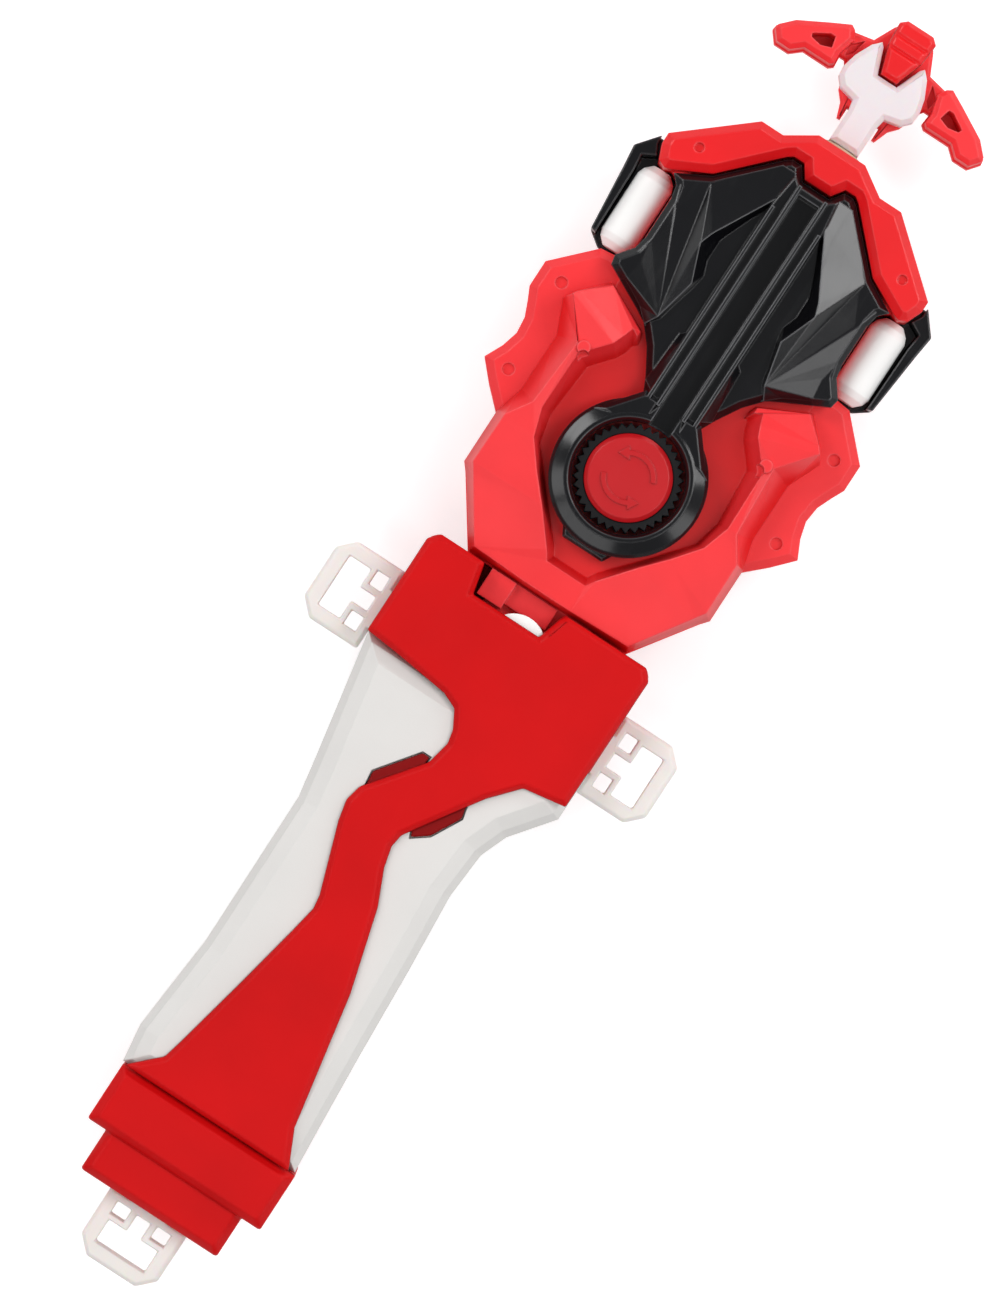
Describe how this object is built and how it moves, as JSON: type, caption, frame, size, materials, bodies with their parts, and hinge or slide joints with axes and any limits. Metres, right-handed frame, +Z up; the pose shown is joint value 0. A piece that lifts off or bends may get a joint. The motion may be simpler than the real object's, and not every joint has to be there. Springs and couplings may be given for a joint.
{
  "type": "spinning top launcher",
  "caption": "Hand-held string launcher for spinning tops: geared launcher head with direction dial, pull handle on a string, and a long grip with strap loops.",
  "frame": {"origin": "on the spin axis, in the plane of the launcher body's underside", "axes": "+Z up through the launcher's top face, +Y along the grip and body to the string handle, +X to the right seen from above"},
  "size_m": [0.0728, 0.2646, 0.032],
  "materials": {
    "red_plastic": "semi-gloss moulded",
    "deep_red_plastic": "semi-gloss moulded",
    "black_plastic": "glossy moulded",
    "white_plastic": "satin moulded",
    "milky_plastic": "translucent milky",
    "clear_plastic": "clear, slightly frosted",
    "tan_plastic": "matt moulded",
    "string": "braided",
    "steel": "bright"
  },
  "bodies": {
    "housing": {"base_shell": "red_plastic", "top_shell": "red_plastic", "front_cowl": "deep_red_plastic", "face_plate": "black_plastic", "side_frame_right": "black_plastic", "side_frame_left": "black_plastic", "side_pad_right": "white_plastic", "side_pad_left": "white_plastic", "detent_spring": "steel", "spool_post": "steel", "idler_pin": "steel", "hub_bush": "white_plastic", "string_eyelet": "tan_plastic", "string_lead": "string", "body_screws": "steel", "grip_front_shell": "white_plastic", "grip_back_shell": "white_plastic", "front_cover": "deep_red_plastic", "back_cover": "deep_red_plastic", "head_block": "deep_red_plastic", "tail_cap": "deep_red_plastic", "strap_loop_right": "milky_plastic", "strap_loop_left": "milky_plastic", "strap_loop_tail": "milky_plastic", "lock_spring": "steel", "grip_screws": "steel"},
    "handle": {"handle_fork": "clear_plastic", "handle_wings": "red_plastic", "handle_wedge": "deep_red_plastic", "string_knot": "string", "string_pull": "string"},
    "spool": {"spool": "black_plastic", "string_winding": "string", "clock_spring": "steel"},
    "idler": {"idler_gear": "white_plastic"},
    "hub": {"hub": "black_plastic", "centre_spring": "steel"},
    "pin": {"centre_pin": "steel"},
    "dial": {"selector_wheel": "black_plastic", "selector_cap": "deep_red_plastic", "shift_cam": "black_plastic"},
    "lock": {"lock_button": "white_plastic"}
  },
  "joints": [
    {"name": "handle_pull", "type": "slide", "parent": "housing", "child": "handle", "axis": [0, 1, 0], "range_m": [0, 0.45], "stiffness_N_per_m": 6, "springref_m": -0.2, "deforming": ["string_pull"]},
    {"name": "spool_spin", "type": "hinge", "parent": "housing", "child": "spool", "pos_m": [0, 0.036, 0.004], "axis": [0, 0, 1], "range_deg": [-1760, 10], "deforming": ["clock_spring", "string_winding"]},
    {"name": "idler_spin", "type": "hinge", "parent": "housing", "child": "idler", "pos_m": [0, 0.0128, 0.004], "axis": [0, 0, 1], "range_deg": [-20, 5500]},
    {"name": "hub_spin", "type": "hinge", "parent": "housing", "child": "hub", "pos_m": [0, 0, 0.004], "axis": [0, 0, 1], "range_deg": [-4300, 20]},
    {"name": "pin_press", "type": "slide", "parent": "hub", "child": "pin", "axis": [0, 0, 1], "range_m": [0, 0.003], "stiffness_N_per_m": 250, "springref_m": -0.002, "deforming": ["centre_spring"]},
    {"name": "dial_turn", "type": "hinge", "parent": "housing", "child": "dial", "pos_m": [0, 0, 0.016], "axis": [0, 0, 1], "range_deg": [0, 50]},
    {"name": "lock_press", "type": "slide", "parent": "housing", "child": "lock", "axis": [0, 0, -1], "range_m": [0, 0.0024], "stiffness_N_per_m": 400, "springref_m": -0.002, "deforming": ["lock_spring"]}
  ],
  "couplings": [
    {"joint": "spool_spin", "follows": "handle_pull", "rad_per_m": -67.114},
    {"joint": "idler_spin", "follows": "handle_pull", "rad_per_m": 210.93},
    {"joint": "hub_spin", "follows": "handle_pull", "rad_per_m": -164.06}
  ]
}
